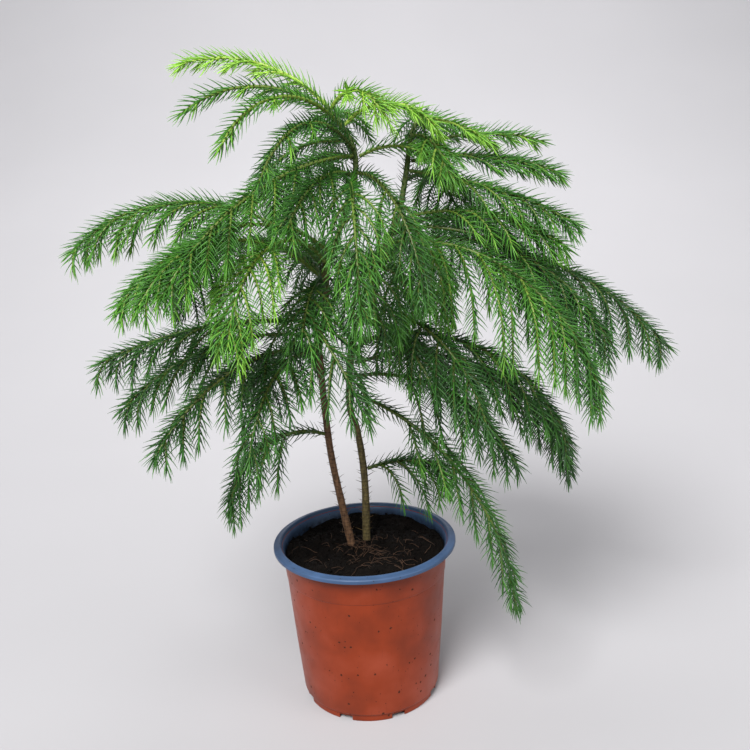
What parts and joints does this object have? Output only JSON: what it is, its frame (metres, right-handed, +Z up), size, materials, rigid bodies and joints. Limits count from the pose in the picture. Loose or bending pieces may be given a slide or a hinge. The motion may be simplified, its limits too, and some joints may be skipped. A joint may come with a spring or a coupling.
{
  "type": "potted araucaria",
  "caption": "Potted araucaria: young Norfolk Island pines with drooping needle-clad branches, in a round plastic nursery pot that stands on its foot.",
  "frame": {"origin": "on the surface the pot stands on, under the middle of the crown's outline; the pot's axis is at x -17.1 mm, y -11.9 mm", "axes": "+Z up along the pot's axis; -Y is the front, and +X is to the right seen from the front"},
  "size_m": [0.3703, 0.244, 0.4112],
  "materials": {
    "pot_plastic": "moulded polypropylene, terracotta outside with a blue inner layer and rim, satin",
    "peat": "moist peat compost, crumbly and matte",
    "bark": "thin brown bark with dry needle bases, rough",
    "foliage": "waxy green needles on green twigs, satin"
  },
  "bodies": {
    "root": {"pot": "pot_plastic", "soil": "peat", "stem_left": "bark", "stem_right": "bark", "branch_left_top_west": "foliage", "branch_left_top_east": "foliage", "branch_left_top_south": "foliage", "branch_left_top_north": "foliage", "branch_left_crown_west": "foliage", "branch_left_crown_southwest": "foliage", "branch_left_crown_east": "foliage", "branch_left_crown_northwest": "foliage", "branch_left_middle_west": "foliage", "branch_left_middle_southwest": "foliage", "branch_left_middle_south": "foliage", "branch_left_middle_front": "foliage", "branch_left_middle_northwest": "foliage", "branch_left_middle_north": "foliage", "branch_left_low_west": "foliage", "branch_left_low_southwest": "foliage", "branch_left_low_south": "foliage", "branch_left_low_north": "foliage", "branch_left_lowest": "foliage", "branch_right_top_east": "foliage", "branch_right_top_north": "foliage", "branch_right_top_south": "foliage", "branch_right_crown_east": "foliage", "branch_right_crown_southeast": "foliage", "branch_right_crown_north": "foliage", "branch_right_middle_southeast": "foliage", "branch_right_middle_front": "foliage", "branch_right_middle_south": "foliage", "branch_right_middle_east": "foliage", "branch_right_middle_northeast": "foliage", "branch_right_middle_north": "foliage", "branch_right_low_east": "foliage", "branch_right_low_southeast": "foliage", "branch_right_low_south": "foliage", "branch_right_low_northeast": "foliage", "branch_right_long": "foliage", "branch_right_lowest": "foliage", "branch_left_top_southwest": "foliage", "branch_left_top_front": "foliage", "branch_left_top_southeast": "foliage", "branch_left_crown_front": "foliage", "branch_left_crown_south": "foliage", "branch_left_middle_outer": "foliage", "branch_left_middle_inner": "foliage", "branch_left_low_front": "foliage", "branch_right_crown_northeast": "foliage", "branch_right_middle_inner": "foliage", "branch_right_middle_outer": "foliage", "branch_right_low_outer": "foliage", "branch_right_low_front": "foliage", "branch_left_crown_northeast": "foliage", "branch_right_middle_hanging": "foliage"}
  },
  "joints": []
}
